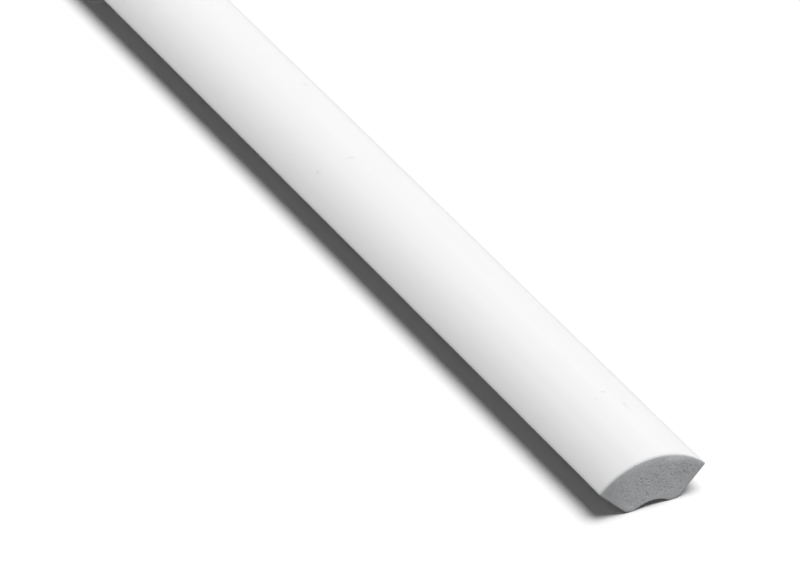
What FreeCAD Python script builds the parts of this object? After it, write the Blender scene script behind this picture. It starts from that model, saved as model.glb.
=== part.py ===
"""Quarter round moulding: one length of extruded, foamed white plastic trim.

The section is a quarter of a disc. Two flat legs meet at a right angle and go against
the wall and the floor, and a round crown joins their tips. The corner between the legs
is taken away by a hollow cove, so that the legs seat where a room's corner is uneven.
That leaves a rounded heel at the inner end of each leg.

Set down by itself, the length lies on its two heels with the crown upwards.
X runs along the length, Y across it and Z up. The origin is at the middle of the
length, midway between the heels, on the floor.
"""

import FreeCAD, Part
import math
import os

# Driving dimensions in millimetres
length = 2438.4       # one stock length, 8 feet
leg = 17.5            # from the corner of the two legs to a tip, also the crown's radius
tip_radius = 0.3      # rounding where the crown meets a leg
cove_radius = 7.2     # hollow behind the corner, centred on the corner itself
heel_radius = 2.7     # rounding between a leg and the cove

# The die's outline is drawn about the back corner. Each leg leans out at this angle.
leg_slope = math.radians(45)

# Along a leg, how far from the corner the two roundings touch it
tip_reach = math.sqrt((leg - tip_radius) ** 2 - tip_radius ** 2)
heel_reach = math.sqrt((cove_radius + heel_radius) ** 2 - heel_radius ** 2)

# The heels' lowest line is this far above the back corner, and rests on the floor
along_leg = FreeCAD.Vector(0, math.cos(leg_slope), math.sin(leg_slope))
off_leg = FreeCAD.Vector(0, -math.sin(leg_slope), math.cos(leg_slope))
heel_centre = along_leg * heel_reach + off_leg * heel_radius
tip_centre = along_leg * tip_reach + off_leg * tip_radius
heel_drop = heel_centre.z - heel_radius


def toward(start, through, distance):
    """The point that lies a distance from start, on the line through another point."""
    return start + (through - start).normalize() * distance


def arc(centre, first, last):
    """The arc from first to last about a centre, the short way round."""
    halfway = (first - centre) + (last - centre)
    middle = centre + halfway.normalize() * (first - centre).Length
    return Part.Arc(first, middle, last).toShape()


def half_outline(corner):
    """The right half of the outline, from the top of the cove down and round to the top of the crown."""
    cove_top = corner + FreeCAD.Vector(0, 0, cove_radius)
    cove_end = toward(corner, heel_centre, cove_radius)
    heel_end = along_leg * heel_reach
    tip_start = along_leg * tip_reach
    crown_end = toward(corner, tip_centre, leg)
    crown_top = corner + FreeCAD.Vector(0, 0, leg)
    return [
        arc(corner, cove_top, cove_end),
        arc(heel_centre, cove_end, heel_end),
        Part.LineSegment(heel_end, tip_start).toShape(),
        arc(tip_centre, tip_start, crown_end),
        arc(corner, crown_end, crown_top),
    ]


def section():
    """The whole outline as a face, standing on the floor at mid length."""
    corner = FreeCAD.Vector(0, 0, 0)
    across = FreeCAD.Vector(0, 1, 0)
    right = half_outline(corner)
    left = [edge.mirror(corner, across) for edge in right]
    outline = Part.Wire(Part.__sortEdges__([*right, *left]))
    outline.translate(FreeCAD.Vector(0, 0, -heel_drop))
    return Part.Face(outline)


def moulding():
    """The section run along the whole length and sawn square at both ends."""
    end_face = section()
    end_face.translate(FreeCAD.Vector(-length / 2, 0, 0))
    return end_face.extrude(FreeCAD.Vector(length, 0, 0))


os.makedirs("parts", exist_ok=True)
quarter_round = moulding()
quarter_round.exportStep("parts/quarter_round.step")
box = quarter_round.BoundBox
print("size", round(box.XLength, 2), round(box.YLength, 2), round(box.ZLength, 2), "mm")
print("section area", round(quarter_round.Volume / length, 2), "square mm")
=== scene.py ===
import bpy
import math
import random
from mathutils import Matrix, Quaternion, Vector


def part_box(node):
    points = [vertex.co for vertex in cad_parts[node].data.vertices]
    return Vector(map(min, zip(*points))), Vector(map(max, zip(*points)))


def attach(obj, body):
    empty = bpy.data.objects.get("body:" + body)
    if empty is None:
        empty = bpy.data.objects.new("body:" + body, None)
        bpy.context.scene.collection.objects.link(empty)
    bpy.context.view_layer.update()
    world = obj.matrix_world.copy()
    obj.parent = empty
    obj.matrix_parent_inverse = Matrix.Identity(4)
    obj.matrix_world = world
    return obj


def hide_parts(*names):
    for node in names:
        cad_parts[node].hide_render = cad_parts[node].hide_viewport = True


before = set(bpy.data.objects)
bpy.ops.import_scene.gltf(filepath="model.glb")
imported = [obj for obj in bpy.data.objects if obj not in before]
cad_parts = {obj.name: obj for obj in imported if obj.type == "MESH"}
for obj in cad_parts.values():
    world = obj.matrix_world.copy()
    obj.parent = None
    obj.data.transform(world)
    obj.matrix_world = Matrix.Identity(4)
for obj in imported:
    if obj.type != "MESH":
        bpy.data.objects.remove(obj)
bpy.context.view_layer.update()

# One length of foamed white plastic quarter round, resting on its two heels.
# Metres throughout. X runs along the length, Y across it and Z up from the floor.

MILLIMETRE = 0.001

# The section's sizes
LEG = 17.5 * MILLIMETRE             # back corner to tip, also the crown's radius
TIP_RADIUS = 0.3 * MILLIMETRE
COVE_RADIUS = 7.2 * MILLIMETRE
HEEL_RADIUS = 2.7 * MILLIMETRE
LEG_SLOPE = math.radians(45)        # each leg leans out this far from upright

# How far the roundings turn, and where they touch a leg
HEEL_TURN = math.asin(HEEL_RADIUS / (COVE_RADIUS + HEEL_RADIUS))
TIP_TURN = math.asin(TIP_RADIUS / (LEG - TIP_RADIUS))
HEEL_REACH = (COVE_RADIUS + HEEL_RADIUS) * math.cos(HEEL_TURN)
TIP_REACH = (LEG - TIP_RADIUS) * math.cos(TIP_TURN)

# How many straight edges stand for each rounding in one half of the section
COVE_STEPS = 18
HEEL_STEPS = 16
TIP_STEPS = 16
CROWN_STEPS = 64

# The back corner is in the air under the cove, and the heels' lowest line is on the floor
CORNER_Z = HEEL_RADIUS - (COVE_RADIUS + HEEL_RADIUS) * math.cos(LEG_SLOPE - HEEL_TURN)

low_corner, high_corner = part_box("quarter_round")
NEAR_END = high_corner.x
FAR_END = low_corner.x
LENGTH = NEAR_END - FAR_END

# The sawn ends
RIM_ROUND = 0.15 * MILLIMETRE       # the saw's edge is a little broken
RIM_STEPS = 5
HOLDING_RING = 0.3 * MILLIMETRE     # edges this far from each end keep the long faces' shading straight
FLAT_RING = 0.07 * MILLIMETRE       # and these do the same for the sawn face
SOLID_SKIN = 1.5 * MILLIMETRE       # dense plastic round the foam, with hardly a cell in it
SAWN_FACING = 0.99                  # a sawn face looks along the length by more than this
CUT_FACING = 0.6                    # and the broken rim has the cut's finish from here on

# What the mesh is finished with
SEAM = 0.0001 * MILLIMETRE          # the section's halves join where they are closer than this
SLIVER = 0.01 * MILLIMETRE          # corners closer than this are merged after the cuts
SMOOTH_ANGLE = math.radians(32)     # edges that turn more than this stay sharp

# Cells that the saw opened, as (across, up from the floor, radius) in millimetres
LARGE_CELLS = [
    (-2.7, 7.3, 0.37), (-2.7, 6.5, 0.29), (-3.8, 6.2, 0.33), (4.3, 6.3, 0.31), (5.2, 6.3, 0.28),
    (7.3, 6.1, 0.32), (6.9, 7.2, 0.30), (6.3, 7.7, 0.26), (1.6, 5.7, 0.32), (2.0, 3.1, 0.30),
    (-0.8, 6.0, 0.28), (-2.2, 2.0, 0.26), (8.7, 7.1, 0.26), (-0.7, 9.8, 0.20), (2.1, 4.1, 0.25),
    (3.0, 4.8, 0.28),
]
SMALL_CELLS = 300
SMALLEST_CELL = 0.07 * MILLIMETRE
CELL_RANGE = 0.17 * MILLIMETRE      # the small cells' radii grow by up to this
CELL_BIAS = 3                       # a higher power makes more of them the smallest
CELL_WALL = 0.03 * MILLIMETRE       # plastic that is left between two cells
STRAY_CELLS = 0.02                  # the least chance that a place gets a cell
CELL_OVAL = (0.8, 1.1)              # a cell's three half widths, as shares of its radius
CELL_SINK = (-0.45, 0.35)           # a cell sinks below the cut by the size of a draw from here, in radii
BALL_LEVEL = 2                      # subdivisions of the ball that cuts cells and chips
NEAR_SEED = 5
FAR_SEED = 11

# Chips that the saw took out of the crown's rim, as (turn from upright in degrees, radius in millimetres)
RIM_CHIPS = [(-15.0, 0.24), (-31.0, 0.10), (-6.0, 0.09), (9.0, 0.12), (24.0, 0.10), (37.0, 0.14)]
FAR_CHIPS = RIM_CHIPS[::-2]         # every other one
CHIP_SINK = 0.3                     # how far a chip's middle lies below the cut, in radii

# Scuffs on the crown: millimetres from the near end, degrees from upright, length and width in
# millimetres, degrees from the length's own direction, and strength
SCUFFS = [
    (165.5, 25.5, 2.2, 1.0, 75, 0.18), (165.5, 25.7, 1.1, 0.8, 75, 0.35), (131.3, 2.6, 2.8, 0.9, 76, 0.35),
    (131.7, -24.4, 2.0, 0.8, -32, 0.3), (131.0, -23.8, 2.0, 0.8, 15, 0.2), (26.5, 10.4, 0.9, 0.9, 77, 0.35),
    (26.5, 11.6, 1.2, 0.9, 77, 0.25), (24.3, 1.8, 1.3, 1.0, 80, 0.2), (21.3, 17.8, 1.1, 0.9, 80, 0.45),
    (20.1, 17.7, 2.6, 0.7, 3, 0.22), (101.9, -42.5, 1.2, 0.9, 20, 0.15), (29.1, -38.9, 1.2, 0.9, 60, 0.15),
    (128.9, 24.4, 3.6, 0.8, 4, 0.12),
]
SCUFF_DEPTH = MILLIMETRE            # a scuff's half width square to the skin
SCUFF_FADE = 1.2                    # it ends where the squared distance, in its half widths, is this

# The two finishes, in the order of the piece's material slots
SKIN = 0
FOAM = 1

# The skin's look
SKIN_TONES = (0.89, 0.905)          # darkest and lightest of the die's streaks
# the scuffs' tone, which the painted shade at the sawn ends and the back edge also darkens to
SCUFF_AND_SHADE_TONE = 0.66
RIM_SHADE_WIDTH = 0.9 * MILLIMETRE         # painted shade darkens the skin this far from a cut
RIM_SHADE_STRENGTH = 1.1
EDGE_SHADE_STRIP = (high_corner.y - 2.4 * MILLIMETRE, high_corner.y - 0.6 * MILLIMETRE)
EDGE_SHADE_STRENGTH = 0.3                # painted shade along the crown's back edge, reached across that strip
SKIN_ROUGHNESS = 0.34
LINE_ROUGHNESS = 0.08
SCUFF_ROUGHNESS = 0.2
SKIN_GLOW = 1.0 * MILLIMETRE        # how far light spreads in the dense plastic

# The skin's patterns, as repeats in a metre, and how much each adds to the relief
DIE_LINES = 1600
DIE_STREAKS = 260
RIPPLES = 420
DRAWN_OUT = 50                      # the die's marks are this many times as long as wide
STREAK_EDGES = (0.35, 0.65)         # where the streaks' noise starts and ends to show
LINE_RELIEF = 0.35
STREAK_RELIEF = 0.4
RIPPLE_RELIEF = 0.5
SKIN_RELIEF = 0.012 * MILLIMETRE
SKIN_RELIEF_STRENGTH = 0.6

# The cut's look. It is lightest at a dullness of 0, and darkest at 1
FOAM_TONES = (0.98, 0.6)
FOAM_TINT = 0.02
FOAM_DULLNESS = 0.33
FOAM_ROUGHNESS = 0.75
FOAM_GLOW = 1.5 * MILLIMETRE
FOAM_GLOW_WEIGHT = 0.6
MOTTLING = 0.4                      # how much the cut's blotches change the dullness
CUT_RIM_SHADE_DEPTH = 0.2 * SOLID_SKIN         # painted shade darkens the cut's rim down to this depth
CUT_RIM_SHADE = 0.6
SHADED_TIPS = (4 * MILLIMETRE, 11 * MILLIMETRE)
TIP_PAINTED_SHADE = 0.35                  # painted shade that darkens the cut, reached between those distances from the middle
PAINTED_SIDE_LIGHT = 0.2                     # painted light: how much lighter the cut is a leg further to the right

# The cut's patterns, as repeats in a metre, and what each adds to the dullness and the relief
# In the colour, the coarse and fine cells are painted shade in their hollows, and the glints are painted
# highlights
COARSE_SPECKLE = 1700
COARSE_CELL_SHADE = 0.35
FINE_SPECKLE = 3600
FINE_CELL_SHADE = 0.45
FINE_RELIEF = 0.3
GLINTS = 2600
GLINT_SHIFT = (1, 1.01, 0.99)       # sets the glints off from the other cells
GLINT_RELIEF = 0.5
MOTTLE = 900
MOTTLE_RELIEF = 0.5
OPENED = 0.5                        # the share of the speckle's cells that show
GLINTING = 0.4                      # and of the glints
CHOICE_EDGE = 0.1                   # how softly those are told from the rest
HOLLOW_EDGE = (0.15, 0.5)           # how far from its middle a hollow fades, in cells
FOAM_RELIEF = 0.08 * MILLIMETRE
FOAM_RELIEF_STRENGTH = 0.9

# Where the speckle is weaker: in the dense skin, on the left, where the saw smeared it, and at the tips
FOAM_CORE = (0.3 * SOLID_SKIN, 1.5 * SOLID_SKIN)
SPECKLE_IN_SKIN = 0.45
SMEARED_SIDE = (-10 * MILLIMETRE, 2 * MILLIMETRE)
SPECKLE_SMEARED = 0.35
SPECKLE_AT_TIPS = 0.5

# The view
VIEW_AZIMUTH = math.radians(61.71)
VIEW_ELEVATION = math.radians(32.41)
VIEW_ROLL = math.radians(0.03)
VIEW_DISTANCE = 1.6214
AIM = Vector((NEAR_END - 89.31 * MILLIMETRE, -9.92 * MILLIMETRE, 5.8 * MILLIMETRE))
LENS_MM = 347.4

# The light and the floor
KEY_TILT = math.radians(14)         # towards the back
KEY_LEAN = math.radians(8.5)        # towards the near end
KEY_STRENGTH = 3.07
KEY_SPREAD = math.radians(40)
AMBIENT = 0.07
FLOOR_BOUNCE = 0.25                 # the floor's grey for light that it only passes on
FLOOR_SIZE = 60


def from_corner(reach, turn):
    """A point of the section, by its distance and its turn from upright about the back corner."""
    return Vector((0, reach * math.sin(turn), CORNER_Z + reach * math.cos(turn)))


def select_nothing():
    """Leaves edit mode and takes everything out of the selection."""
    if bpy.context.object and bpy.context.object.mode != "OBJECT":
        bpy.ops.object.mode_set(mode="OBJECT")
    bpy.ops.object.select_all(action="DESELECT")


def pick(piece):
    """Makes one object the only selected one."""
    select_nothing()
    bpy.context.view_layer.objects.active = piece
    piece.select_set(True)


def apply_modifier(piece, kind, settings):
    """Adds a modifier to an object, sets it up and applies it."""
    pick(piece)
    modifier = piece.modifiers.new(kind.title(), kind)
    for name, value in settings.items():
        setattr(modifier, name, value)
    bpy.ops.object.modifier_apply(modifier=modifier.name)


def edit_faces(piece, wanted):
    """Goes into edit mode with only the faces selected that a test picks."""
    pick(piece)
    bpy.ops.object.mode_set(mode="EDIT")
    bpy.ops.mesh.select_mode(type="FACE")
    bpy.ops.mesh.select_all(action="DESELECT")
    bpy.ops.object.mode_set(mode="OBJECT")
    for face in piece.data.polygons:
        face.select = wanted(face)
    bpy.ops.object.mode_set(mode="EDIT")


def draw_arc(centre, turn, steps):
    """Draws an arc from the selected point, with a positive turn anticlockwise seen from the near end."""
    bpy.ops.mesh.spin(steps=steps, angle=-turn, center=centre, axis=(1, 0, 0))


def draw_outline():
    """The section's outline at the near end: its right half, from the cove to the crown, then mirrored."""
    corner = from_corner(0, 0)
    heel_centre = from_corner(COVE_RADIUS + HEEL_RADIUS, LEG_SLOPE - HEEL_TURN)
    tip_centre = from_corner(LEG - TIP_RADIUS, LEG_SLOPE - TIP_TURN)
    flat = from_corner(TIP_REACH, LEG_SLOPE) - from_corner(HEEL_REACH, LEG_SLOPE)
    top_of_cove = Vector((NEAR_END, 0, CORNER_Z + COVE_RADIUS))
    select_nothing()
    bpy.ops.mesh.primitive_plane_add(size=LEG, location=top_of_cove)
    bpy.ops.object.mode_set(mode="EDIT")
    bpy.ops.mesh.select_mode(type="VERT")
    bpy.ops.mesh.merge(type="CENTER")
    draw_arc(corner, HEEL_TURN - LEG_SLOPE, COVE_STEPS)
    draw_arc(heel_centre, math.pi / 2 - HEEL_TURN, HEEL_STEPS)
    bpy.ops.mesh.extrude_region_move(TRANSFORM_OT_translate={"value": flat})
    draw_arc(tip_centre, math.pi / 2 + TIP_TURN, TIP_STEPS)
    draw_arc(corner, LEG_SLOPE - TIP_TURN, CROWN_STEPS)
    bpy.ops.object.mode_set(mode="OBJECT")
    outline = bpy.context.object
    apply_modifier(outline, "MIRROR", {"use_axis": (False, True, False), "merge_threshold": SEAM})
    return outline


def extrude_length(piece):
    """Fills the outline and runs it along the whole length."""
    pick(piece)
    bpy.ops.object.mode_set(mode="EDIT")
    bpy.ops.mesh.select_all(action="SELECT")
    bpy.ops.mesh.edge_face_add()
    for run in (HOLDING_RING, LENGTH - 2 * HOLDING_RING, HOLDING_RING):
        bpy.ops.mesh.extrude_region_move(TRANSFORM_OT_translate={"value": (-run, 0, 0)})
    bpy.ops.mesh.select_all(action="SELECT")
    bpy.ops.mesh.normals_make_consistent(inside=False)
    bpy.ops.object.mode_set(mode="OBJECT")
    bpy.ops.object.transform_apply()


def is_sawn(face):
    """True for a face that the saw left square across the length."""
    return abs(face.normal.x) > SAWN_FACING


def break_rims(piece):
    """Takes the sharpness off the sawn edges and rings each sawn face."""
    edit_faces(piece, is_sawn)
    bpy.ops.mesh.region_to_loop()
    bpy.ops.mesh.bevel(offset=RIM_ROUND, segments=RIM_STEPS, affect="EDGES")
    edit_faces(piece, is_sawn)
    bpy.ops.mesh.inset(thickness=FLAT_RING)
    bpy.ops.object.mode_set(mode="OBJECT")


def depths(across, rise):
    """How far a point of the section lies inside the crown, the legs and the cove.

    It is given across and up from the back corner, as numbers or as sockets.
    """
    reach = (across * across + rise * rise) ** 0.5
    from_legs = rise * math.sin(LEG_SLOPE) - abs(across) * math.cos(LEG_SLOPE)
    return LEG - reach, from_legs, reach - COVE_RADIUS


def scatter_cells(draw, placed):
    """Adds small cells to a list of larger ones, apart from each other.

    They crowd towards the middle, and to the side where the saw smeared them less.
    """
    cells = list(placed)
    while len(cells) < len(placed) + SMALL_CELLS:
        across = draw.uniform(low_corner.y, high_corner.y)
        up = draw.uniform(low_corner.z, high_corner.z)
        radius = SMALLEST_CELL + CELL_RANGE * draw.random() ** CELL_BIAS
        depth = min(depths(across, up - CORNER_Z))
        chance = (depth - SOLID_SKIN) / (2 * SOLID_SKIN) * (1 + across / high_corner.y)
        if depth < radius + RIM_ROUND + 2 * FLAT_RING or draw.random() > max(chance, STRAY_CELLS):
            continue
        if all(math.hypot(across - y, up - z) > radius + r + CELL_WALL for y, z, r in cells):
            cells.append((across, up, radius))
    return cells


def bubbles(draw, places):
    """One cutter made of bubbles, each with a stretch and a turn of its own."""
    select_nothing()
    bpy.ops.mesh.primitive_ico_sphere_add(subdivisions=BALL_LEVEL, radius=1)
    ball = bpy.context.object
    copies = []
    for place, radius in places:
        copy = ball.copy()
        copy.data = ball.data.copy()
        copy.location = place
        copy.rotation_euler = [draw.uniform(0, math.tau) for _ in range(3)]
        copy.scale = [radius * draw.uniform(*CELL_OVAL) for _ in range(3)]
        bpy.context.collection.objects.link(copy)
        copies.append(copy)
    bpy.data.objects.remove(ball)
    select_nothing()
    for copy in copies:
        copy.select_set(True)
    bpy.context.view_layer.objects.active = copies[0]
    bpy.ops.object.join()
    bpy.ops.object.transform_apply()
    return bpy.context.object


def cut_bubbles(piece, draw, places, finish):
    """Takes bubbles out of a piece, and gives the hollows one of its finishes."""
    cutter = bubbles(draw, places)
    for material in piece.data.materials:
        cutter.data.materials.append(material)
    cutter.data.polygons.foreach_set("material_index", [finish] * len(cutter.data.polygons))
    settings = {"operation": "DIFFERENCE", "solver": "MANIFOLD", "material_mode": "INDEX", "object": cutter}
    apply_modifier(piece, "BOOLEAN", settings)
    bpy.data.objects.remove(cutter)


def below_cut(end, depth):
    """The place along the length that lies this deep below one sawn end."""
    return end - math.copysign(depth, end)


def open_cells(piece, draw, end, placed):
    """Opens the foam's cells in one sawn end, each cut at a depth of its own."""
    places = []
    for across, up, radius in scatter_cells(draw, placed):
        sunk = abs(draw.uniform(*CELL_SINK)) * radius
        places.append(((below_cut(end, sunk), across, up), radius))
    cut_bubbles(piece, draw, places, FOAM)


def chip_rim(piece, draw, end, chips):
    """Takes small chips out of the crown's rim at one sawn end."""
    places = []
    for turn, radius in chips:
        place = from_corner(LEG, math.radians(turn))
        place.x = below_cut(end, CHIP_SINK * radius * MILLIMETRE)
        places.append((place, radius * MILLIMETRE))
    cut_bubbles(piece, draw, places, SKIN)


def wear_end(piece, end, seed, cells, chips):
    """Opens the cells and chips the rim of one sawn end, with random draws of its own."""
    draw = random.Random(seed)
    open_cells(piece, draw, end, cells)
    chip_rim(piece, draw, end, chips)


def merge_slivers(piece):
    """Merges corners that the cuts left almost on top of each other, once no face is too large for it."""
    pick(piece)
    bpy.ops.object.mode_set(mode="EDIT")
    bpy.ops.mesh.select_mode(type="FACE")
    bpy.ops.mesh.select_all(action="DESELECT")
    bpy.ops.mesh.select_face_by_sides(number=4, type="GREATER")
    bpy.ops.mesh.quads_convert_to_tris()
    bpy.ops.mesh.select_all(action="SELECT")
    bpy.ops.mesh.remove_doubles(threshold=SLIVER)
    bpy.ops.object.mode_set(mode="OBJECT")


class Socket:
    """A socket of a node tree. Arithmetic on it adds Math nodes, and node adds any other kind."""

    def __init__(self, tree, socket=None):
        self.tree = tree
        self.socket = socket

    def node(self, kind, settings=None, sockets=None, output=0):
        """Adds a node, sets it up, feeds its sockets with values or links, and returns one output."""
        new = self.tree.nodes.new(kind)
        for name, value in (settings or {}).items():
            setattr(new, name, value)
        for name, value in (sockets or {}).items():
            if isinstance(value, Socket):
                self.tree.links.new(value.socket, new.inputs[name])
            else:
                new.inputs[name].default_value = value
        return Socket(self.tree, new.outputs[output] if new.outputs else None)

    def math(self, operation, *values):
        """Adds a Math node. The operators below are short for it."""
        return self.node("ShaderNodeMath", {"operation": operation}, dict(enumerate(values)))

    def __add__(self, other):
        return self.math("ADD", self, other)

    def __sub__(self, other):
        return self.math("SUBTRACT", self, other)

    def __rsub__(self, other):
        return self.math("SUBTRACT", other, self)

    def __mul__(self, other):
        return self.math("MULTIPLY", self, other)

    def __truediv__(self, other):
        return self.math("DIVIDE", self, other)

    def __pow__(self, other):
        return self.math("POWER", self, other)

    def __abs__(self):
        return self.math("ABSOLUTE", self)

    __radd__ = __add__
    __rmul__ = __mul__

    def other(self, output):
        """Another output of the node that this socket is on."""
        return Socket(self.tree, self.socket.node.outputs[output])

    def axis(self, number):
        """One coordinate of this place: 0 along the length, 1 across it and 2 up."""
        return self.node("ShaderNodeSeparateXYZ", None, {0: self}, output=number)

    def ramp(self, low, high):
        """0 at low and 1 at high, with soft ends."""
        settings = {"interpolation_type": "SMOOTHSTEP"}
        return self.node("ShaderNodeMapRange", settings, {"Value": self, "From Min": low, "From Max": high})

    def between(self, low, high):
        """A number between two others, by this socket."""
        return low + self * (high - low)

    def blend(self, first, second):
        """A colour between two others, by this socket."""
        return self.node("ShaderNodeMix", {"data_type": "RGBA"}, {0: self, 6: first, 7: second}, output=2)

    def bump(self, distance, strength):
        """A normal for this height, where distance is what a height of 1 stands for."""
        return self.node("ShaderNodeBump", None, {"Height": self, "Distance": distance, "Strength": strength})


def new_finish(name):
    """An empty material, as a socket wrapper on its tree, and the material."""
    material = bpy.data.materials.new(name)
    material.use_nodes = True
    material.node_tree.nodes.clear()
    return Socket(material.node_tree), material


def object_place(paint):
    """The place on the object, in metres."""
    return paint.node("ShaderNodeTexCoord", output=3)


def grey(level, tint=0.0):
    """A colour with a little more blue than red where the tint is positive."""
    return (level * (1 - tint), level, level * (1 + tint), 1)


def coat(paint, sockets):
    """The surface itself, with its constants and the values that vary over it."""
    shader = paint.node("ShaderNodeBsdfPrincipled", None, sockets)
    paint.node("ShaderNodeOutputMaterial", None, {"Surface": shader})


def stretch(place, *factors):
    """A place with its three coordinates scaled, so that a pattern on it is drawn out."""
    return place.node("ShaderNodeVectorMath", {"operation": "MULTIPLY"}, {0: place, 1: factors})


def noise(place, scale, detail):
    """Soft blotches on a place, around a half."""
    return place.node("ShaderNodeTexNoise", None, {"Vector": place, "Scale": scale, "Detail": detail})


def run_along(place, origin, direction, half):
    """How far a place lies from an origin in one direction, in half lengths of a mark."""
    offset = place.node("ShaderNodeVectorMath", {"operation": "SUBTRACT"}, {0: place, 1: origin})
    both = {0: offset, 1: direction}
    reached = place.node("ShaderNodeVectorMath", {"operation": "DOT_PRODUCT"}, both, output=1)
    return reached / half


def scuffs(place):
    """How scuffed the skin is: small dashes on the crown, each with soft ends."""
    total = 0
    for from_end, turn, length, width, lean, strength in SCUFFS:
        turn = math.radians(turn)
        lean = math.radians(lean)
        origin = from_corner(LEG, turn) + Vector((NEAR_END - from_end * MILLIMETRE, 0, 0))
        along = Vector((1, 0, 0))
        across = Vector((0, math.cos(turn), -math.sin(turn)))
        outward = Vector((0, math.sin(turn), math.cos(turn)))
        lengthways = along * math.cos(lean) + across * math.sin(lean)
        crossways = across * math.cos(lean) - along * math.sin(lean)
        ran = run_along(place, origin, lengthways, length * MILLIMETRE / 2)
        wide = run_along(place, origin, crossways, width * MILLIMETRE / 2)
        deep = run_along(place, origin, outward, SCUFF_DEPTH)
        total = total + (1 - (ran * ran + wide * wide + deep * deep).ramp(0, SCUFF_FADE)) * strength
    return total


def skin_finish():
    """Dense extruded skin: smooth satin white, drawn out along the length by the die, with a few scuffs, and
    with painted shade towards the sawn ends and along the back edge.
    """
    paint, material = new_finish("skin")
    place = object_place(paint)
    drawn = stretch(place, 1 / DRAWN_OUT, 1, 1)
    lines = noise(drawn, DIE_LINES, detail=3)
    streaks = noise(drawn, DIE_STREAKS, detail=2)
    ripple = noise(place, RIPPLES, detail=2)
    scuffed = scuffs(place)
    # painted shade: the crown darkens towards each sawn end
    painted_rim_shade = 1 - (NEAR_END - abs(place.axis(0))).ramp(0, RIM_SHADE_WIDTH)
    # painted shade: a darker line along the crown's back edge
    painted_edge_shade = place.axis(1).ramp(*EDGE_SHADE_STRIP)
    clean = streaks.ramp(*STREAK_EDGES).blend(grey(SKIN_TONES[0]), grey(SKIN_TONES[1]))
    scuffs_and_painted_shade = scuffed + painted_rim_shade * RIM_SHADE_STRENGTH + painted_edge_shade * EDGE_SHADE_STRENGTH
    height = lines * LINE_RELIEF + streaks * STREAK_RELIEF + ripple * RIPPLE_RELIEF - scuffed
    coat(paint, {
        "Base Color": scuffs_and_painted_shade.blend(clean, grey(SCUFF_AND_SHADE_TONE)),
        "Roughness": SKIN_ROUGHNESS + lines * LINE_ROUGHNESS + scuffed * SCUFF_ROUGHNESS,
        "Normal": height.bump(SKIN_RELIEF, SKIN_RELIEF_STRENGTH),
        "Subsurface Weight": 1.0,
        "Subsurface Radius": (1, 1, 1),
        "Subsurface Scale": SKIN_GLOW,
    })
    return material


def cells_in(place, scale, share):
    """A foam of round hollows on a place, 1 in the middle of those that the saw opened."""
    cell = place.node("ShaderNodeTexVoronoi", None, {"Vector": place, "Scale": scale})
    luck = cell.node("ShaderNodeSeparateColor", None, {0: cell.other(1)})
    return (1 - cell.ramp(*HOLLOW_EDGE)) * luck.ramp(1 - share, 1 - share + CHOICE_EDGE)


def cut_finish():
    """Sawn foam: matt and a little greyer, fine cells in the middle and dense plastic round them. Its colour
    holds painted shade in the cells, at the tips and along the rim, painted glints, and painted light towards
    the right.
    """
    paint, material = new_finish("sawn foam")
    place = object_place(paint)
    across = place.axis(1)
    in_crown, in_legs, in_cove = depths(across, place.axis(2) - CORNER_Z)
    depth = paint.math("MINIMUM", in_crown, paint.math("MINIMUM", in_legs, in_cove))
    core = depth.ramp(*FOAM_CORE).between(SPECKLE_IN_SKIN, 1)
    crisp = across.ramp(*SMEARED_SIDE).between(SPECKLE_SMEARED, 1)
    # towards the tips the speckle fades, and painted shade darkens the cut
    tips = abs(across).ramp(*SHADED_TIPS)
    # painted shade along the cut's broken rim
    painted_cut_rim_shade = 1 - depth.ramp(0, CUT_RIM_SHADE_DEPTH)
    coarse = cells_in(place, COARSE_SPECKLE, OPENED)
    fine = cells_in(place, FINE_SPECKLE, OPENED)
    glints = cells_in(stretch(place, *GLINT_SHIFT), GLINTS, GLINTING)
    mottle = noise(place, MOTTLE, detail=3)
    rough = core * crisp * tips.between(1, SPECKLE_AT_TIPS)
    # painted shade in the cells' hollows, and painted glints where their lower rims would catch the lamp
    painted_cell_shade_and_glints = (coarse * COARSE_CELL_SHADE + fine * FINE_CELL_SHADE - glints) * rough
    tone_with_painted_light = FOAM_DULLNESS + painted_cell_shade_and_glints + (mottle - 0.5) * MOTTLING + tips * TIP_PAINTED_SHADE
    # painted light towards the right of the cut, and painted shade along its rim
    tone_with_painted_light = tone_with_painted_light - across * (PAINTED_SIDE_LIGHT / LEG) + painted_cut_rim_shade * CUT_RIM_SHADE
    height = (glints * GLINT_RELIEF - coarse - fine * FINE_RELIEF) * rough + mottle * MOTTLE_RELIEF
    coat(paint, {
        "Base Color": tone_with_painted_light.blend(grey(FOAM_TONES[0], FOAM_TINT), grey(FOAM_TONES[1], FOAM_TINT)),
        "Roughness": FOAM_ROUGHNESS,
        "Normal": height.bump(FOAM_RELIEF, FOAM_RELIEF_STRENGTH),
        "Subsurface Weight": FOAM_GLOW_WEIGHT,
        "Subsurface Radius": (1, 1, 1),
        "Subsurface Scale": FOAM_GLOW,
    })
    return material


def dress(piece):
    """Skin all over, and sawn foam on the two ends."""
    for finish in (skin_finish(), cut_finish()):
        piece.data.materials.append(finish)
    for face in piece.data.polygons:
        face.material_index = FOAM if abs(face.normal.x) > CUT_FACING else SKIN


def make_moulding():
    """The one piece of stock."""
    moulding = draw_outline()
    moulding.name = "moulding"
    extrude_length(moulding)
    break_rims(moulding)
    dress(moulding)
    large_cells = [tuple(size * MILLIMETRE for size in cell) for cell in LARGE_CELLS]
    wear_end(moulding, NEAR_END, NEAR_SEED, large_cells, RIM_CHIPS)
    wear_end(moulding, FAR_END, FAR_SEED, [], FAR_CHIPS)
    merge_slivers(moulding)
    bpy.ops.object.shade_smooth_by_angle(angle=SMOOTH_ANGLE)
    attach(moulding, "root")
    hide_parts("quarter_round")


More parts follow.
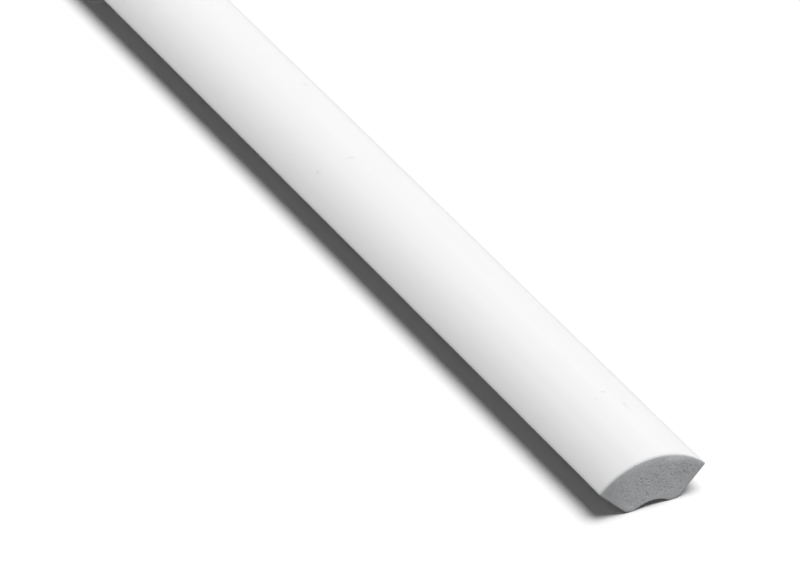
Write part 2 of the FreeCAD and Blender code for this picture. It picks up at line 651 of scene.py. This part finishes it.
def stand_camera():
    """The camera, at the photograph's angle on the near end."""
    camera = bpy.data.objects.new("camera", bpy.data.cameras.new("camera"))
    camera.data.lens = LENS_MM
    level = math.cos(VIEW_ELEVATION)
    back = Vector((math.sin(VIEW_AZIMUTH) * level, -math.cos(VIEW_AZIMUTH) * level, math.sin(VIEW_ELEVATION)))
    camera.location = AIM + back * VIEW_DISTANCE
    camera.rotation_mode = "QUATERNION"
    camera.rotation_quaternion = (-back).to_track_quat("-Z", "Y") @ Quaternion((0, 0, 1), VIEW_ROLL)
    bpy.context.collection.objects.link(camera)
    bpy.context.scene.camera = camera


def seen_rays(paint):
    """1 for rays that show a backdrop, directly or in gloss or glass, and 0 for those that carry light."""
    path = [paint.node("ShaderNodeLightPath", output=name)
            for name in ("Is Camera Ray", "Is Glossy Ray", "Is Transmission Ray")]
    return paint.math("MAXIMUM", path[0], paint.math("MAXIMUM", path[1], path[2]))


def lay_floor():
    """A plain white floor that keeps the piece's shadow and passes little light on."""
    select_nothing()
    bpy.ops.mesh.primitive_plane_add(size=FLOOR_SIZE)
    floor = bpy.context.object
    floor.name = "floor"
    paint, material = new_finish("floor")
    colour = seen_rays(paint).blend(grey(FLOOR_BOUNCE), grey(1))
    surface = paint.node("ShaderNodeBsdfDiffuse", None, {"Color": colour})
    paint.node("ShaderNodeOutputMaterial", None, {"Surface": surface})
    floor.data.materials.append(material)


def hang_lights():
    """A white studio all round with a low ambient light, and one broad lamp overhead."""
    world = bpy.data.worlds.new("studio")
    world.use_nodes = True
    world.node_tree.nodes.clear()
    paint = Socket(world.node_tree)
    seen = seen_rays(paint)
    strength = seen + (1 - seen) * AMBIENT
    surface = paint.node("ShaderNodeBackground", None, {"Color": grey(1), "Strength": strength})
    paint.node("ShaderNodeOutputWorld", None, {"Surface": surface})
    bpy.context.scene.world = world
    key = bpy.data.objects.new("key", bpy.data.lights.new("key", "SUN"))
    key.data.energy = KEY_STRENGTH
    key.data.angle = KEY_SPREAD
    key.rotation_euler = (-KEY_TILT, KEY_LEAN, 0)
    bpy.context.collection.objects.link(key)


make_moulding()
lay_floor()
hang_lights()
stand_camera()
bpy.context.scene.view_settings.view_transform = "Standard"

select_nothing()
